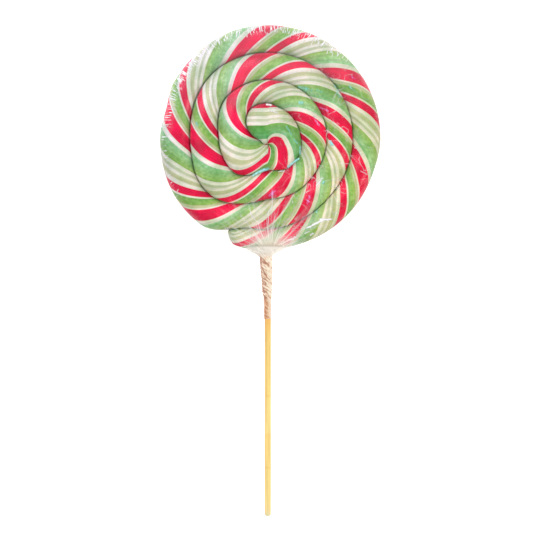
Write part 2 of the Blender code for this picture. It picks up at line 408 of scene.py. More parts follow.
links.new(clouded_tone.outputs[2], painted_light_toned.inputs[6])
links.new(painted_light_tint.outputs["Color"], painted_light_toned.inputs[7])
# Painted shade: the colour is darkened towards grey-brown in the joints and round the rim.
painted_shade_attr = nodes.new("ShaderNodeAttribute")
painted_shade_attr.attribute_name = "painted_shade_layer"
joined = nodes.new("ShaderNodeMix")
joined.data_type, joined.blend_type = "RGBA", "MULTIPLY"
joined.inputs[7].default_value = (0.20, 0.19, 0.16, 1.0)
links.new(painted_shade_attr.outputs["Fac"], joined.inputs["Factor"])
# The greens are the most uneven, flecked darker and lighter, and deep where they are thick.
redness = nodes.new("ShaderNodeSeparateColor")
links.new(ramp.outputs["Color"], redness.inputs[0])
is_green = nodes.new("ShaderNodeMapRange")
is_green.inputs["From Min"].default_value, is_green.inputs["From Max"].default_value = 0.38, 0.54
is_green.inputs["To Min"].default_value, is_green.inputs["To Max"].default_value = 1.0, 0.0
links.new(redness.outputs[0], is_green.inputs["Value"])
fleck = nodes.new("ShaderNodeTexNoise")
fleck.inputs["Scale"].default_value = 620.0
fleck.inputs["Detail"].default_value = 2.0
links.new(place.outputs["Object"], fleck.inputs["Vector"])
flecks = nodes.new("ShaderNodeValToRGB")
flecks.color_ramp.elements[0].position, flecks.color_ramp.elements[0].color = 0.32, (0.80, 0.90, 0.76, 1.0)
flecks.color_ramp.elements[1].position, flecks.color_ramp.elements[1].color = 0.68, (1.26, 1.13, 1.34, 1.0)
links.new(fleck.outputs["Fac"], flecks.inputs[0])
flecked = nodes.new("ShaderNodeMix")
flecked.data_type, flecked.blend_type = "RGBA", "MULTIPLY"
links.new(is_green.outputs["Result"], flecked.inputs["Factor"])
links.new(painted_light_toned.outputs[2], flecked.inputs[6])
links.new(flecks.outputs["Color"], flecked.inputs[7])
thick = nodes.new("ShaderNodeAttribute")
thick.attribute_name = "deep"
deepened = nodes.new("ShaderNodeMix")
deepened.data_type, deepened.blend_type = "RGBA", "MULTIPLY"
deepened.inputs[7].default_value = (0.30, 0.66, 0.42, 1.0)
links.new(node_math("MULTIPLY", thick.outputs["Fac"], is_green.outputs["Result"]), deepened.inputs["Factor"])
links.new(flecked.outputs[2], deepened.inputs[6])
links.new(deepened.outputs[2], joined.inputs[6])
links.new(joined.outputs[2], shader.inputs["Base Color"])
shader.inputs["Roughness"].default_value = 0.34
shader.inputs["Specular IOR Level"].default_value = 0.14
shader.inputs["Subsurface Weight"].default_value = 0.25
shader.inputs["Subsurface Radius"].default_value = (1.0, 0.5, 0.3)
shader.inputs["Subsurface Scale"].default_value = 0.0012
relief = nodes.new("ShaderNodeBump")
relief.inputs["Strength"].default_value = 0.25
relief.inputs["Distance"].default_value = 0.0004
links.new(streaks(30.0, 0.4, 2.0), relief.inputs["Height"])
links.new(relief.outputs["Normal"], shader.inputs["Normal"])
mesh.materials.append(sugar)
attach(rope, "root")
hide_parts("candy")

# ---------------------------------------------------------------------------
# The film over the candy
# One piece of clear film is drawn over the disc and hugs it. It spans the grooves, is
# shrunk into short crinkles round the rim and creased towards the neck.
# ---------------------------------------------------------------------------
FILM_INSET = 0.06
FILM_BRIDGE = 0.9
CRINKLES = 230
CRINKLE_RISE = 0.40
FAN_CREASES = 54
LONG_CREASES = 44
NECK_MOUTH = np.array([0.0, -53.0])
crumple = np.random.default_rng(11)


def film_rim(around):
    """Radius of the film's outline; it leads from one end of the outer turn to the other."""
    wound = np.where(around < COIL_START, around + 360.0, around)
    radius = coil_radius(wound)
    lap = eased((wound - (COIL_START + 354.5)) / 4.5)
    return radius + (coil_radius(np.full_like(wound, COIL_START + 1.0)) - radius) * lap


def creases(points, starts, ends, rises, widths):
    """Height of straight creases, each a soft ridge that fades at both of its ends."""
    height = np.zeros(len(points))
    for start, end, rise, width in zip(starts, ends, rises, widths):
        run = end - start
        along = ((points - start) @ run) / (run @ run)
        off = (points - start) @ np.array([-run[1], run[0]]) / math.sqrt(run @ run)
        ridge = rise * np.exp(-(off / width) ** 2) * eased(along * 8.0) * eased((1.0 - along) * 2.5)
        height = np.maximum(height, np.where((along > 0.0) & (along < 1.0), ridge, 0.0))
    return height


def noise_field(points, scale, seed):
    """Smooth uneven field between -1 and 1 made of a few crossing waves."""
    shift = np.random.default_rng(seed)
    field = np.zeros(len(points))
    for _ in range(9):
        turn = shift.uniform(0.0, math.tau)
        wave = shift.uniform(0.6, 1.6) / scale
        field += np.sin(points @ np.array([math.cos(turn), math.sin(turn)]) * wave * math.tau + shift.uniform(0.0, math.tau))
    return field / 4.0


FILM_SPOKES = 900
face_rows = list(np.linspace(0.0, 1.0, 76)[:-1])
rim_rows = list(np.radians(np.linspace(90.0, -66.0, 27)))
under_rows = list(np.linspace(1.0, 0.0, 8)[1:])
count = len(face_rows) + len(rim_rows) + len(under_rows)

bm = bmesh.new()
edge_uv = bm.loops.layers.uv.new("edge")
milk_and_sheen, crease_milk_and_glint, dash_glint, cool, wrinkle_glint = (bm.verts.layers.float.new(name) for name in ("milk_and_sheen", "crease_milk_and_glint", "dash_glint", "cool", "wrinkle_glint"))
made = bmesh.ops.create_grid(bm, x_segments=FILM_SPOKES, y_segments=count - 1, size=1.0)["verts"]
flat = np.array([v.co[:2] for v in made])
spoke = np.rint((flat[:, 0] + 1.0) / 2.0 * FILM_SPOKES).astype(int) % FILM_SPOKES
order = np.rint((flat[:, 1] + 1.0) / 2.0 * (count - 1)).astype(int)
around = COIL_START + 360.0 * spoke / FILM_SPOKES
reach = film_rim(around) - 0.08
on_face = order < len(face_rows)
on_rim = ~on_face & (order < len(face_rows) + len(rim_rows))
beneath = ~on_face & ~on_rim
part = np.array(face_rows + rim_rows + under_rows)[order]
radius = np.where(on_face, (reach - EDGE_ARC) * part,
                  np.where(on_rim, reach - EDGE_ARC * (1.0 - np.cos(np.where(on_rim, part, 0.0))),
                           (reach - EDGE_ARC * (1.0 - math.cos(math.radians(66.0)))) * part))
points = plan(radius, around)
over = rope_height(points, bridge=FILM_BRIDGE) - FILM_INSET
round_rim = np.where(on_rim, ROPE_CREST * np.sin(np.where(on_rim, part, 0.0)), ROPE_CREST)
height = np.where(on_rim & (part > 0.0), np.minimum(over, round_rim - FILM_INSET), over)
height = np.where(on_rim & (part <= 0.0), np.maximum(round_rim, -(FLAT - 0.05)), height)
height = np.where(beneath, -(FLAT - 0.05), height)

# Crinkles round the rim, deepest at the upper left, where the film is gathered most.
turn = COIL_START + (np.arange(CRINKLES) + crumple.uniform(-0.35, 0.35, CRINKLES)) * 360.0 / CRINKLES
wave = np.zeros(len(made))
for a, width, deep, reach_in in zip(turn, crumple.uniform(0.24, 0.42, CRINKLES), crumple.uniform(0.50, 1.0, CRINKLES), crumple.uniform(4.0, 9.5, CRINKLES)):
    lean = 0.28 * math.sin(math.radians(a) * 9.0) + crumple.uniform(-0.08, 0.16)
    gathered = 0.12 + 0.88 * float(eased((a - 35.0) / 35.0) * eased((222.0 - a) / 60.0))
    off = (around - a) * math.pi / 180.0 * reach - lean * (reach - radius)
    ridge = np.exp(-(off / width) ** 2) * eased((1.0 - (reach - radius) / reach_in) * 2.2)
    wave = np.maximum(wave, deep * gathered * ridge)
wave *= np.where(on_face | (on_rim & (part > 0.0)), 1.0, np.where(on_rim, np.clip(1.0 + part / 0.9, 0.0, 1.0), 0.0))

# Creases that fan out from the neck, and long ones across the right-hand side.
bearing = np.radians(np.where(crumple.uniform(0.0, 1.0, FAN_CREASES) < 0.65, crumple.normal(118.0, 22.0, FAN_CREASES), crumple.uniform(18.0, 90.0, FAN_CREASES)))
ray = np.stack([np.cos(bearing), np.sin(bearing)], axis=1)
begin = NECK_MOUTH + ray * crumple.uniform(1.0, 7.0, FAN_CREASES)[:, None]
finish = NECK_MOUTH + ray * crumple.uniform(14.0, 38.0, FAN_CREASES)[:, None]
top_side = on_face | (on_rim & (part > 0.1))
# Nothing creases in a straight line: the film is followed a little to either side.
bent = points + 0.8 * np.stack([noise_field(points, 10.0, 31), noise_field(points, 10.0, 32)], axis=1)
fan = creases(bent, begin, finish, crumple.uniform(0.12, 0.34, FAN_CREASES), crumple.uniform(0.2, 0.36, FAN_CREASES))
from_here = plan(crumple.uniform(18.0, 50.0, LONG_CREASES), crumple.uniform(-75.0, 75.0, LONG_CREASES))
heading = np.radians(crumple.normal(118.0, 22.0, LONG_CREASES))
to_there = from_here + np.stack([np.cos(heading), np.sin(heading)], axis=1) * crumple.uniform(8.0, 26.0, LONG_CREASES)[:, None]
long_run = creases(bent, from_here, to_there, crumple.uniform(0.06, 0.18, LONG_CREASES), crumple.uniform(0.2, 0.45, LONG_CREASES))
dimple = 0.05 * noise_field(points, 5.0, 7) + 0.03 * noise_field(points, 2.2, 8)
lift = np.where(top_side, np.minimum(fan + long_run, 0.36) + dimple, 0.0) * np.where(on_face, 1.0, eased(part * 1.5))
height = height + lift - np.where(top_side, 0.12, 0.0)
outward = np.where(on_rim, np.cos(np.where(on_rim, part, 0.0)), 0.0)
radius = radius + 0.06 * wave * outward
height = height + CRINKLE_RISE * wave * np.where(top_side, 1.0 - outward, 0.0) * 0.8
# The film lies on the sugar everywhere, and nowhere stands above the candy's crest.
height = np.where(top_side, np.maximum(height, rope_height(points, DIP_OUTSIDE) - SUGAR_INSET + 0.08), height)
height = np.minimum(height, (candy_high[2] - coil_centre.z) / MM - 0.02)
points = plan(radius, around)
# Painted highlights where light would catch a sharp crease: (from x, y, to x, y, half width, strength, tint), tint 1
# for a painted cyan reflection and -1 for a lilac one.
GLINTS = (
    (15.6, -42.7, 24.0, -38.2, 0.26, 0.75, 0.0), (19.6, -40.6, 27.4, -36.6, 0.46, 0.90, 0.0), (22.8, -37.9, 31.6, -36.7, 0.40, 0.90, 0.0),
    (19.2, -45.0, 22.0, -43.9, 0.32, 0.88, 0.0),
    (5.6, -49.8, 14.0, -44.2, 0.30, 0.60, 0.0), (22.5, -41.9, 32.2, -38.2, 0.30, 0.45, 0.0), (21.3, -22.9, 25.9, -17.0, 0.36, 0.85, 0.0),
    (16.4, -25.8, 21.5, -22.8, 0.32, 0.55, 0.0), (24.8, -21.8, 26.3, -19.3, 0.45, 0.70, 1.0), (22.2, -34.0, 23.0, -35.2, 0.55, 0.75, 1.0),
    (8.4, 5.6, 11.8, -0.6, 0.35, 0.60, 1.0), (11.6, -0.2, 14.7, -4.2, 0.32, 0.60, 1.0), (14.7, -3.6, 14.2, -9.6, 0.35, 0.65, 1.0),
    (14.4, -9.0, 8.0, -15.0, 0.45, 0.85, 1.0), (-8.2, -18.2, 3.2, -12.4, 0.55, 0.75, 1.0), (4.6, -15.9, 8.6, -15.3, 0.28, 0.65, 0.0),
    (28.7, -1.0, 30.1, -5.0, 0.60, 0.70, 1.0), (13.4, 23.4, 21.2, 20.6, 0.75, 0.50, 1.0), (21.4, 22.0, 27.0, 19.8, 0.55, 0.50, 1.0),
    (29.4, 24.8, 34.9, 15.9, 0.38, 0.55, 1.0), (36.4, 23.5, 44.2, 18.4, 0.50, 0.45, 1.0), (37.3, 28.0, 40.9, 25.7, 0.38, 0.60, -1.0),
    (22.6, 14.3, 29.6, 11.3, 0.35, 0.55, -1.0), (26.8, 10.7, 34.2, 12.9, 0.32, 0.40, 0.0), (20.8, 10.3, 24.0, 3.3, 0.35, 0.50, -1.0),
    (14.2, 16.5, 17.0, 15.0, 0.50, 0.70, 1.0), (-1.0, 14.7, 3.6, 14.4, 0.35, 0.90, 0.0), (1.0, 12.1, 5.4, 10.8, 0.40, 0.80, 0.0),
    (17.4, -31.2, 20.4, -24.2, 0.60, 0.45, -1.0), (0.0, -27.6, 5.0, -23.2, 0.60, 0.50, -1.0), (-32.7, 7.4, -32.3, 3.6, 0.80, 0.50, 1.0),
    (38.9, -0.7, 51.0, -7.3, 0.28, 0.50, 0.0), (38.7, -4.0, 45.2, -10.2, 0.30, 0.55, 0.0), (41.5, -15.6, 47.4, -17.3, 0.30, 0.50, 0.0),
    (42.0, -19.7, 46.6, -18.3, 0.28, 0.45, 0.0), (-23.3, 39.0, -25.7, 31.8, 1.10, 0.30, 1.0), (37.5, -8.5, 43.5, -14.0, 0.28, 0.45, 0.0),
)
glint = np.zeros(len(made))
tint = np.zeros(len(made))
for x0, y0, x1, y1, width, strength, cast in GLINTS:
    one = creases(points + 0.5 * (bent - points), np.array([[x0, y0]]), np.array([[x1, y1]]), (strength,), (width * 1.35,))
    one = np.where(top_side, one * np.clip(1.0 + 0.15 * noise_field(points, 1.3, 21), 0.6, 1.2), 0.0)
    tint = np.where(one > np.maximum(glint, 0.08), cast, tint)
    glint = np.maximum(glint, one)
# A milky veil round the rim where the film is gathered, partly milky film and partly painted sheen, a faint painted
# sheen over the upper half, and the sharper creases, whitened partly as milky film and partly as painted highlights.
inward = np.where(on_rim & (part < 0.0), -1.0, 1.0) * (reach - radius)
veil_reach = 3.2 - 2.0 * eased((around - 135.0) / 25.0)
rim_veil_and_sheen = 0.13 * eased((around - 5.0) / 45.0) * eased((225.0 - around) / 60.0) * np.exp(-np.abs(inward) / veil_reach)
rim_veil_and_sheen = np.maximum(rim_veil_and_sheen, np.where(top_side, 0.05 * eased((points[:, 1] - 2.0) / 28.0), 0.0))
white = np.where(top_side, fan * 1.9 + long_run * 2.2 + np.clip(glint, 0.0, 1.0) * 0.95, 0.0)
# How strongly the rim carries painted highlights, short bright dashes on its crinkles, and how they lean.
dash_glint_spread = eased((around - 32.0) / 22.0) * eased((186.0 - around) / 22.0) + 0.60 * eased((around - 168.0) / 15.0) * eased((224.0 - around) / 18.0)
painted_dashes = dash_glint_spread * eased((inward - 0.2) / 0.5) * (1.0 - eased((inward - 3.2) / 4.6)) * np.where(top_side, 1.0, 0.0)
lean = 0.25 * np.sin(np.radians(around) * 9.0) + 0.12 * np.sin(np.radians(around) * 23.0)
sideways = np.radians(around) * DISC_RADIUS + lean * inward
# The film is slackest on the side away from the gathered rim, and wrinkles there; the wrinkles are painted as fine
# highlights.
loose = eased((points[:, 0] * 0.9 - points[:, 1] * 0.45 + 4.0) / 26.0) * np.where(top_side, eased((inward - 0.6) / 2.0), 0.0)
where = {}
for vert, (x, y), z, veiled, sharp, dash, cast, limp, u, v in zip(made, points, height, rim_veil_and_sheen, white, painted_dashes, tint, loose, sideways, inward):
    vert.co = (x, y, z)
    vert[milk_and_sheen], vert[crease_milk_and_glint], vert[dash_glint], vert[cool], vert[wrinkle_glint] = float(veiled), float(sharp), float(dash), float(cast), float(limp)
    where[vert] = (float(u), float(v))
for face in bm.faces:
    for loop in face.loops:
        loop[edge_uv].uv = where[loop.vert]
bmesh.ops.remove_doubles(bm, verts=bm.verts, dist=0.0005)
bmesh.ops.recalc_face_normals(bm, faces=bm.faces)
bmesh.ops.scale(bm, vec=(MM, MM, MM), verts=bm.verts)
bmesh.ops.translate(bm, vec=coil_centre, verts=bm.verts)
mesh = bpy.data.meshes.new("film_cover")
bm.to_mesh(mesh)
bm.free()
mesh.shade_smooth()
cover = bpy.data.objects.new("film_cover", mesh)
scene.collection.objects.link(cover)

film = bpy.data.materials.new("clear_film")
film.use_nodes = True
nodes, links = film.node_tree.nodes, film.node_tree.links
shader = nodes["Principled BSDF"]
shader.inputs["Base Color"].default_value = (0.98, 0.98, 0.97, 1.0)
shader.inputs["Roughness"].default_value = 0.24
clear = nodes.new("ShaderNodeBsdfTransparent")
facing = nodes.new("ShaderNodeLayerWeight")
facing.inputs["Blend"].default_value = 0.5
place = nodes.new("ShaderNodeTexCoord")
fine_crease = nodes.new("ShaderNodeTexNoise")
fine_crease.inputs["Scale"].default_value = 420.0
fine_crease.inputs["Detail"].default_value = 2.0
links.new(place.outputs["Object"], fine_crease.inputs["Vector"])
crease_bump = nodes.new("ShaderNodeBump")
crease_bump.inputs["Strength"].default_value = 0.35
crease_bump.inputs["Distance"].default_value = 0.0003
links.new(fine_crease.outputs["Fac"], crease_bump.inputs["Height"])
links.new(crease_bump.outputs["Normal"], shader.inputs["Normal"])
links.new(crease_bump.outputs["Normal"], facing.inputs["Normal"])


def attribute(name):
    node = nodes.new("ShaderNodeAttribute")
    node.attribute_name = name
    return node.outputs["Fac"]


# Painted highlights round the rim, short bright dashes: noise drawn out across it.
edge_map = nodes.new("ShaderNodeUVMap")
edge_map.uv_map = "edge"
edge_place = nodes.new("ShaderNodeMapping")
edge_place.inputs["Scale"].default_value = (2.30, 0.25, 1.0)
links.new(edge_map.outputs["UV"], edge_place.inputs["Vector"])
dashes = nodes.new("ShaderNodeTexNoise")
dashes.inputs["Scale"].default_value = 1.0
dashes.inputs["Detail"].default_value = 1.0
links.new(edge_place.outputs["Vector"], dashes.inputs["Vector"])

# Milky where it is creased, partly milky film and partly painted highlights, and most of all where it is gathered into
# the neck.
from_neck = nodes.new("ShaderNodeVectorMath")
from_neck.operation = "SUBTRACT"
from_neck.inputs[1].default_value = (0.0, coil_centre.y + NECK_MOUTH[1] * MM, 0.0)
links.new(place.outputs["Object"], from_neck.inputs[0])
split = nodes.new("ShaderNodeSeparateXYZ")
links.new(from_neck.outputs[0], split.inputs[0])
bearing_now = node_math("ARCTAN2", split.outputs[1], split.outputs[0])
away = node_math("SQRT", node_math("ADD", node_math("MULTIPLY", split.outputs[0], split.outputs[0]),
                                   node_math("MULTIPLY", split.outputs[1], split.outputs[1])))
rays = nodes.new("ShaderNodeCombineXYZ")
links.new(node_math("MULTIPLY", bearing_now, 16.0), rays.inputs[0])
links.new(node_math("MULTIPLY", away, 60.0), rays.inputs[1])
gathers = nodes.new("ShaderNodeTexNoise")
gathers.inputs["Scale"].default_value = 1.0
gathers.inputs["Detail"].default_value = 3.0
links.new(rays.outputs[0], gathers.inputs["Vector"])


def mapped(value, low, high, to_low, to_high, smooth=True):
    node = nodes.new("ShaderNodeMapRange")
    node.interpolation_type = "SMOOTHSTEP" if smooth else "LINEAR"
    for socket, number in zip(("From Min", "From Max", "To Min", "To Max"), (low, high, to_low, to_high)):
        node.inputs[socket].default_value = number
    links.new(value, node.inputs["Value"])
    return node.outputs["Result"]


near = mapped(away, 0.003, 0.015, 1.0, 0.0)
wide = mapped(away, 0.006, 0.036, 1.0, 0.0)
streaked = mapped(gathers.outputs["Fac"], 0.42, 0.66, 0.0, 1.0)
veil = node_math("ADD", node_math("MULTIPLY", near, 0.72), node_math("MULTIPLY", node_math("MULTIPLY", wide, streaked), 0.42))
dash_level = node_math("SUBTRACT", dashes.outputs["Fac"], node_math("MULTIPLY", node_math("SUBTRACT", 1.0, attribute("dash_glint")), 0.3))
sharp = node_math("MAXIMUM", mapped(attribute("crease_milk_and_glint"), 0.18, 0.80, 0.0, 0.92), mapped(dash_level, 0.525, 0.590, 0.0, 0.90))
# Painted highlights along curled hair-thin wrinkles, in patches.
curl = nodes.new("ShaderNodeTexNoise")
curl.inputs["Scale"].default_value = 170.0
curl.inputs["Detail"].default_value = 1.0
curl.inputs["Distortion"].default_value = 0.5
links.new(place.outputs["Object"], curl.inputs["Vector"])
patches = nodes.new("ShaderNodeTexNoise")
patches.inputs["Scale"].default_value = 75.0
links.new(place.outputs["Object"], patches.inputs["Vector"])
hair = mapped(node_math("ABSOLUTE", node_math("SUBTRACT", curl.outputs["Fac"], 0.5)), 0.0, 0.030, 0.34, 0.0)
hair = node_math("MULTIPLY", node_math("MULTIPLY", hair, mapped(patches.outputs["Fac"], 0.44, 0.60, 0.0, 1.0)), attribute("wrinkle_glint"))
milk = node_math("MAXIMUM", node_math("MAXIMUM", veil, attribute("milk_and_sheen")), node_math("MAXIMUM", sharp, hair))
# White as a rule, creamy at the neck, with a painted cyan or lilac reflection on some of the painted glints.
FILM_CASTS = (((0.97, 0.95, 0.99), None), ((0.94, 0.86, 0.70), near), ((0.36, 0.86, 0.86), attribute("cool")),
              ((0.92, 0.40, 0.86), node_math("MULTIPLY", attribute("cool"), -1.0)))
shade = None
for colour, amount in FILM_CASTS:
    if amount is None:
        first = colour
        continue
    mixed = nodes.new("ShaderNodeMix")
    mixed.data_type, mixed.clamp_factor = "RGBA", True
    links.new(amount, mixed.inputs["Factor"])
    if shade is None:
        mixed.inputs[6].default_value = (*first, 1.0)
    else:
        links.new(shade, mixed.inputs[6])
    mixed.inputs[7].default_value = (*colour, 1.0)
    shade = mixed.outputs[2]
links.new(shade, shader.inputs["Base Color"])
shader_metal = node_math("SUBTRACT", 1.0, mapped(milk, 0.0, 0.08, 0.0, 1.0))
links.new(shader_metal, shader.inputs["Metallic"])
blend = nodes.new("ShaderNodeMixShader")
gloss = node_math("ADD", node_math("MULTIPLY", node_math("POWER", facing.outputs["Facing"], 5.0), 0.07), 0.014)
links.new(node_math("MINIMUM", node_math("ADD", gloss, milk), 0.93), blend.inputs[0])
links.new(clear.outputs[0], blend.inputs[1])
links.new(shader.outputs[0], blend.inputs[2])
links.new(blend.outputs[0], nodes["Material Output"].inputs["Surface"])
mesh.materials.append(film)
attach(cover, "root")
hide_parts("candy")

# ---------------------------------------------------------------------------
# The stick
# A plain round wooden dowel with a rounded free end. It runs up through the neck of the
# film into the middle of the candy, which is set round it.
# ---------------------------------------------------------------------------
STICK_STATIONS = 96
STICK_DOME = 1.1
stick_radius = (stick_high[0] - stick_low[0]) / 2.0 / MM
stick_end = (stick_low[1] - coil_centre.y) / MM
stick_top = (stick_high[1] - coil_centre.y) / MM

bm = bmesh.new()
ring = bmesh.ops.create_circle(bm, segments=36, radius=stick_radius)["verts"]
bmesh.ops.rotate(bm, verts=ring, matrix=Matrix.Rotation(math.radians(90.0), 3, "X"))
bmesh.ops.translate(bm, verts=ring, vec=(0.0, stick_top, 0.0))
loop = list(bm.edges)
for step in range(1, STICK_STATIONS + 1):
    loop = [g for g in bmesh.ops.extrude_edge_only(bm, edges=loop)["geom"] if isinstance(g, bmesh.types.BMEdge)]
    ring = list({vert for edge in loop for vert in edge.verts})
    fall = (stick_end + STICK_DOME - stick_top) / STICK_STATIONS
    bmesh.ops.translate(bm, verts=ring, vec=(0.0, fall, 0.0))
for step in range(1, 8):
    loop = [g for g in bmesh.ops.extrude_edge_only(bm, edges=loop)["geom"] if isinstance(g, bmesh.types.BMEdge)]
    ring = list({vert for edge in loop for vert in edge.verts})
    low, high = math.radians(90.0 * (step - 1) / 8.0), math.radians(90.0 * step / 8.0)
    keep = (stick_radius - STICK_DOME * (1.0 - math.cos(high))) / (stick_radius - STICK_DOME * (1.0 - math.cos(low)))
    bmesh.ops.scale(bm, verts=ring, vec=(keep, 1.0, keep))
    bmesh.ops.translate(bm, verts=ring, vec=(0.0, -STICK_DOME * (math.sin(high) - math.sin(low)), 0.0))
bmesh.ops.holes_fill(bm, edges=[e for e in bm.edges if e.is_boundary], sides=0)
for vert in bm.verts:
    uneven = 1.0 - 0.012 - 0.012 * math.sin(vert.co.y * 0.11 + 1.0) * math.sin(vert.co.y * 0.031)
    vert.co.x, vert.co.z = vert.co.x * uneven, vert.co.z * uneven
bmesh.ops.recalc_face_normals(bm, faces=bm.faces)
bmesh.ops.scale(bm, vec=(MM, MM, MM), verts=bm.verts)
bmesh.ops.translate(bm, vec=coil_centre, verts=bm.verts)
mesh = bpy.data.meshes.new("dowel")
bm.to_mesh(mesh)
bm.free()
mesh.shade_smooth()
dowel = bpy.data.objects.new("dowel", mesh)
scene.collection.objects.link(dowel)

wood = bpy.data.materials.new("pale_birch")
wood.use_nodes = True
nodes, links = wood.node_tree.nodes, wood.node_tree.links
shader = nodes["Principled BSDF"]
place = nodes.new("ShaderNodeTexCoord")
drawn = nodes.new("ShaderNodeMapping")
drawn.inputs["Scale"].default_value = (1500.0, 45.0, 1500.0)
links.new(place.outputs["Object"], drawn.inputs["Vector"])
fibre = nodes.new("ShaderNodeTexNoise")
fibre.inputs["Scale"].default_value = 1.0
fibre.inputs["Detail"].default_value = 4.0
links.new(drawn.outputs["Vector"], fibre.inputs["Vector"])
split = nodes.new("ShaderNodeSeparateXYZ")
links.new(place.outputs["Object"], split.inputs[0])
down = nodes.new("ShaderNodeMapRange")
down.inputs["From Min"].default_value, down.inputs["From Max"].default_value = -0.113, -0.013
links.new(split.outputs[1], down.inputs["Value"])
# Tone along the stick from its free end up: a paler tip, two faint rings, a lighter stretch.
WOOD_TONES = (
    (0.000, (0.80, 0.72, 0.41)), (0.030, (0.91, 0.69, 0.30)), (0.060, (0.95, 0.72, 0.27)),
    (0.217, (0.95, 0.70, 0.24)), (0.224, (0.91, 0.60, 0.18)), (0.231, (0.95, 0.69, 0.235)),
    (0.375, (0.94, 0.65, 0.21)), (0.388, (0.95, 0.72, 0.26)), (0.500, (0.95, 0.71, 0.25)),
    (0.545, (0.95, 0.68, 0.225)), (0.553, (0.91, 0.60, 0.175)), (0.561, (0.94, 0.66, 0.21)),
    (0.800, (0.92, 0.63, 0.19)), (0.905, (0.88, 0.50, 0.125)),
)
tones = nodes.new("ShaderNodeValToRGB")
stops = tones.color_ramp.elements
stops[0].position, stops[0].color = WOOD_TONES[0][0], (*WOOD_TONES[0][1], 1.0)
stops[1].position, stops[1].color = 1.0, (*WOOD_TONES[-1][1], 1.0)
for where, colour in WOOD_TONES[1:]:
    stops.new(where).color = (*colour, 1.0)
links.new(down.outputs["Result"], tones.inputs[0])
shade = nodes.new("ShaderNodeMapRange")
shade.inputs["From Min"].default_value, shade.inputs["From Max"].default_value = 0.3, 0.7
shade.inputs["To Min"].default_value, shade.inputs["To Max"].default_value = 0.82, 1.10
links.new(fibre.outputs["Fac"], shade.inputs["Value"])
tone = nodes.new("ShaderNodeMix")
tone.data_type, tone.blend_type = "RGBA", "MULTIPLY"
tone.inputs["Factor"].default_value = 1.0
links.new(tones.outputs["Color"], tone.inputs[6])
links.new(shade.outputs["Result"], tone.inputs[7])
# Painted shade: the left side of the dowel is darker and browner than the rest.
painted_side_shade = nodes.new("ShaderNodeMix")
painted_side_shade.data_type, painted_side_shade.blend_type = "RGBA", "MULTIPLY"
painted_side_shade.inputs[7].default_value = (0.97, 0.76, 0.66, 1.0)
links.new(mapped(split.outputs[0], coil_centre.x - 0.0014, coil_centre.x - 0.0006, 1.0, 0.0), painted_side_shade.inputs["Factor"])
links.new(tone.outputs[2], painted_side_shade.inputs[6])
links.new(painted_side_shade.outputs[2], shader.inputs["Base Color"])
shader.inputs["Roughness"].default_value = 0.55
grain_bump = nodes.new("ShaderNodeBump")
grain_bump.inputs["Strength"].default_value = 0.3
grain_bump.inputs["Distance"].default_value = 0.0001
links.new(fibre.outputs["Fac"], grain_bump.inputs["Height"])
links.new(grain_bump.outputs["Normal"], shader.inputs["Normal"])
mesh.materials.append(wood)
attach(dowel, "root")
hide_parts("stick")

# ---------------------------------------------------------------------------
# The neck of the film
# Below the rim the film is gathered into pleats, twisted tight round the stick, and its
# tail lies flat on the wood as one thin layer.
# ---------------------------------------------------------------------------
NECK_SEGMENTS = 120
NECK_STATIONS = 170
NECK_TWIST = 820.0
NECK_HEM = -73.6
# Down the neck: (distance below the coil's centre, width radius, height radius, pleat depth, lean).
NECK_RINGS = (
    (-49.0, 11.0, 5.7, 0.15, -0.8), (-50.6, 9.4, 5.1, 0.35, -1.0), (-51.8, 7.4, 4.3, 0.50, -1.3), (-52.9, 5.2, 3.5, 0.50, -1.6),
    (-53.8, 3.80, 2.9, 0.42, -1.4), (-54.9, 2.75, 2.6, 0.30, -1.0), (-58.0, 2.70, 2.6, 0.30, -0.75), (-61.0, 2.68, 2.5, 0.30, -0.55),
    (-66.0, 2.42, 2.2, 0.28, -0.35), (-70.0, 2.22, 2.0, 0.26, -0.38), (-72.8, 2.05, 1.85, 0.20, -0.30), (-73.8, 1.82, 1.66, 0.05, -0.18),
    (-83.3, 1.74, 1.62, 0.03, -0.12),
)
neck_low = NECK_RINGS[-1][0]
drops = np.linspace(NECK_RINGS[0][0], neck_low, NECK_STATIONS)
wide, tall, pleat, lean = (np.interp(-drops, [-r[0] for r in NECK_RINGS], [r[k] for r in NECK_RINGS]) for k in (1, 2, 3, 4))
wound = np.clip((-51.5 - drops) / (-51.5 - NECK_HEM), 0.0, 1.0)
twisted = np.radians(NECK_TWIST) * wound ** 1.25
# Pleats: (how many round the neck, height, where the first one starts, looseness of its twist).
NECK_PLEATS = ((2, 0.8, 0.4, 0.00), (3, 0.9, 2.1, 0.05), (4, 0.7, 5.0, -0.06), (7, 0.5, 1.0, 0.08), (11, 0.4, 3.2, -0.12))

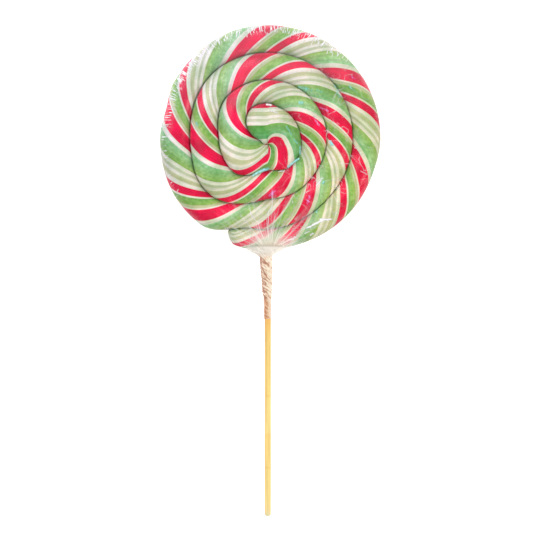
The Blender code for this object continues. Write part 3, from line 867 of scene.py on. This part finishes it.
bm = bmesh.new()
fold_and_side_shade = bm.verts.layers.float.new("fold_and_side_shade")
made = bmesh.ops.create_grid(bm, x_segments=NECK_SEGMENTS, y_segments=NECK_STATIONS - 1, size=1.0)["verts"]
for vert in made:
    turn = math.tau * (int(round((vert.co.x + 1.0) / 2.0 * NECK_SEGMENTS)) % NECK_SEGMENTS) / NECK_SEGMENTS
    k = int(round((vert.co.y + 1.0) / 2.0 * (NECK_STATIONS - 1)))
    ripple = max(deep * math.exp(3.5 * (math.cos(n * (turn + twisted[k] * (1.0 + loose)) + start) - 1.0))
                 for n, deep, start, loose in NECK_PLEATS)
    rise = pleat[k] * (ripple * 1.6 - 0.6)
    hem = 0.9 * math.cos(turn) * math.exp(-((drops[k] - NECK_HEM) / 2.5) ** 2)
    vert.co = ((wide[k] + rise) * math.cos(turn) + lean[k], drops[k] - hem, (tall[k] + rise) * math.sin(turn))
    on_wood = drops[k] < NECK_HEM
    # The fold value carries painted shade too: darker down the left side of the neck, lighter on the right.
    vert[fold_and_side_shade] = (0.47 + 0.28 * ripple + 0.55 * math.cos(turn)) if on_wood else (0.34 + 0.58 * ripple + 0.50 * min(math.cos(turn), 0.25))
bmesh.ops.remove_doubles(bm, verts=bm.verts, dist=0.0005)
bmesh.ops.recalc_face_normals(bm, faces=bm.faces)
bmesh.ops.scale(bm, vec=(MM, MM, MM), verts=bm.verts)
bmesh.ops.translate(bm, vec=coil_centre, verts=bm.verts)
mesh = bpy.data.meshes.new("film_neck")
bm.to_mesh(mesh)
bm.free()
mesh.shade_smooth()
neck = bpy.data.objects.new("film_neck", mesh)
scene.collection.objects.link(neck)

gathered = bpy.data.materials.new("gathered_film")
gathered.use_nodes = True
nodes, links = gathered.node_tree.nodes, gathered.node_tree.links
shader = nodes["Principled BSDF"]
shader.inputs["Roughness"].default_value = 0.28
clear = nodes.new("ShaderNodeBsdfTransparent")
clear.inputs["Color"].default_value = (0.93, 0.86, 0.83, 1.0)
place = nodes.new("ShaderNodeTexCoord")
split = nodes.new("ShaderNodeSeparateXYZ")
links.new(place.outputs["Object"], split.inputs[0])
fold_shade_attr = nodes.new("ShaderNodeAttribute")
fold_shade_attr.attribute_name = "fold_and_side_shade"
layers = nodes.new("ShaderNodeTexNoise")
layers.inputs["Scale"].default_value = 1.0
layers.inputs["Detail"].default_value = 2.0
# The small folds run slantwise down the neck, as it was twisted.
slant = nodes.new("ShaderNodeMapping")
slant.vector_type = "TEXTURE"
slant.inputs["Rotation"].default_value = (0.0, 0.0, math.radians(-50.0))
slant.inputs["Scale"].default_value = (1.0 / 420.0, 1.0 / 1500.0, 1.0 / 900.0)
links.new(place.outputs["Object"], slant.inputs["Vector"])
links.new(slant.outputs["Vector"], layers.inputs["Vector"])
depth = node_math("ADD", fold_shade_attr.outputs["Fac"], node_math("MULTIPLY", node_math("SUBTRACT", layers.outputs["Fac"], 0.46), 2.5))
# Brown where one layer lies tight on the wood, creamy where the folds stand off it, with painted highlight on the
# ridges and painted shade down the left side of the neck.
tones = nodes.new("ShaderNodeValToRGB")
stops = tones.color_ramp.elements
stops[0].position, stops[0].color = 0.12, (0.500, 0.235, 0.160, 1.0)
stops[1].position, stops[1].color = 0.95, (0.990, 0.880, 0.720, 1.0)
stops.new(0.40).color = (0.720, 0.430, 0.300, 1.0)
stops.new(0.66).color = (0.890, 0.670, 0.480, 1.0)
links.new(depth, tones.inputs[0])
free = mapped(split.outputs[1], coil_centre.y - 56.0 * MM, coil_centre.y - 52.5 * MM, 0.0, 1.0)
tone = nodes.new("ShaderNodeMix")
tone.data_type = "RGBA"
links.new(free, tone.inputs["Factor"])
links.new(tones.outputs["Color"], tone.inputs[6])
tone.inputs[7].default_value = (0.92, 0.86, 0.77, 1.0)
links.new(tone.outputs[2], shader.inputs["Base Color"])
layer_bump = nodes.new("ShaderNodeBump")
layer_bump.inputs["Strength"].default_value = 0.5
layer_bump.inputs["Distance"].default_value = 0.0003
links.new(layers.outputs["Fac"], layer_bump.inputs["Height"])
links.new(layer_bump.outputs["Normal"], shader.inputs["Normal"])
mouth = mapped(split.outputs[1], coil_centre.y - 50.7 * MM, coil_centre.y - 49.0 * MM, 0.92, 0.0)
tail = mapped(split.outputs[1], coil_centre.y - 75.5 * MM, coil_centre.y - 73.0 * MM, 0.62, 0.95)
blend = nodes.new("ShaderNodeMixShader")
links.new(node_math("MULTIPLY", node_math("MINIMUM", mouth, tail), mapped(depth, 0.2, 0.7, 0.8, 1.0)), blend.inputs[0])
links.new(clear.outputs[0], blend.inputs[1])
links.new(shader.outputs[0], blend.inputs[2])
links.new(blend.outputs[0], nodes["Material Output"].inputs["Surface"])
thin = nodes.new("ShaderNodeMix")
thin.data_type = "RGBA"
links.new(free, thin.inputs["Factor"])
thin.inputs[6].default_value = (0.93, 0.86, 0.83, 1.0)
thin.inputs[7].default_value = (1.0, 1.0, 1.0, 1.0)
links.new(thin.outputs[2], clear.inputs["Color"])
mesh.materials.append(gathered)
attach(neck, "root")
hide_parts("wrapper")

# ---------------------------------------------------------------------------
# The stage: a plain pale floor, soft light and a camera looking straight down
# ---------------------------------------------------------------------------
bpy.ops.mesh.primitive_plane_add(size=6.0, location=(0.0, 0.0, -0.0001))
floor = bpy.context.object
floor.name = "floor"
paper = bpy.data.materials.new("floor_paper")
paper.use_nodes = True
paper.node_tree.nodes["Principled BSDF"].inputs["Base Color"].default_value = (0.93, 0.93, 0.93, 1.0)
paper.node_tree.nodes["Principled BSDF"].inputs["Roughness"].default_value = 0.9
paper.node_tree.nodes["Principled BSDF"].inputs["Emission Color"].default_value = (1.0, 1.0, 1.0, 1.0)
paper.node_tree.nodes["Principled BSDF"].inputs["Emission Strength"].default_value = 0.62
floor.data.materials.append(paper)

world = bpy.data.worlds.new("studio")
world.use_nodes = True
world.node_tree.nodes["Background"].inputs["Color"].default_value = (1.0, 1.0, 1.0, 1.0)
world.node_tree.nodes["Background"].inputs["Strength"].default_value = 0.55
scene.world = world
scene.view_settings.view_transform = "Standard"


def soft_light(name, place, size, power, colour=(1.0, 1.0, 1.0)):
    lamp = bpy.data.lights.new(name, "AREA")
    lamp.shape, lamp.size, lamp.energy, lamp.color = "DISK", size, power, colour
    holder = bpy.data.objects.new(name, lamp)
    holder.location = place
    holder.rotation_euler = (Vector((0.0, 0.03, 0.0)) - Vector(place)).to_track_quat("-Z", "Y").to_euler()
    scene.collection.objects.link(holder)


soft_light("key", (-0.60, 0.70, 0.95), 1.5, 9.8, (0.94, 0.98, 1.0))
soft_light("fill", (0.95, -0.25, 0.80), 0.7, 5.4, (1.0, 0.94, 0.86))
soft_light("glint", (-0.75, -0.20, 0.60), 0.06, 0.35, (0.55, 0.95, 1.0))
soft_light("spark", (0.25, -0.85, 0.75), 0.07, 0.6)

camera = bpy.data.cameras.new("camera")
camera.sensor_width = 36.0
camera.lens = 36.0 / 0.2484
camera.clip_end = 10.0
viewer = bpy.data.objects.new("camera", camera)
viewer.location = (-0.0001, 0.0002, 1.0 + coil_centre.z)
scene.collection.objects.link(viewer)
scene.camera = viewer
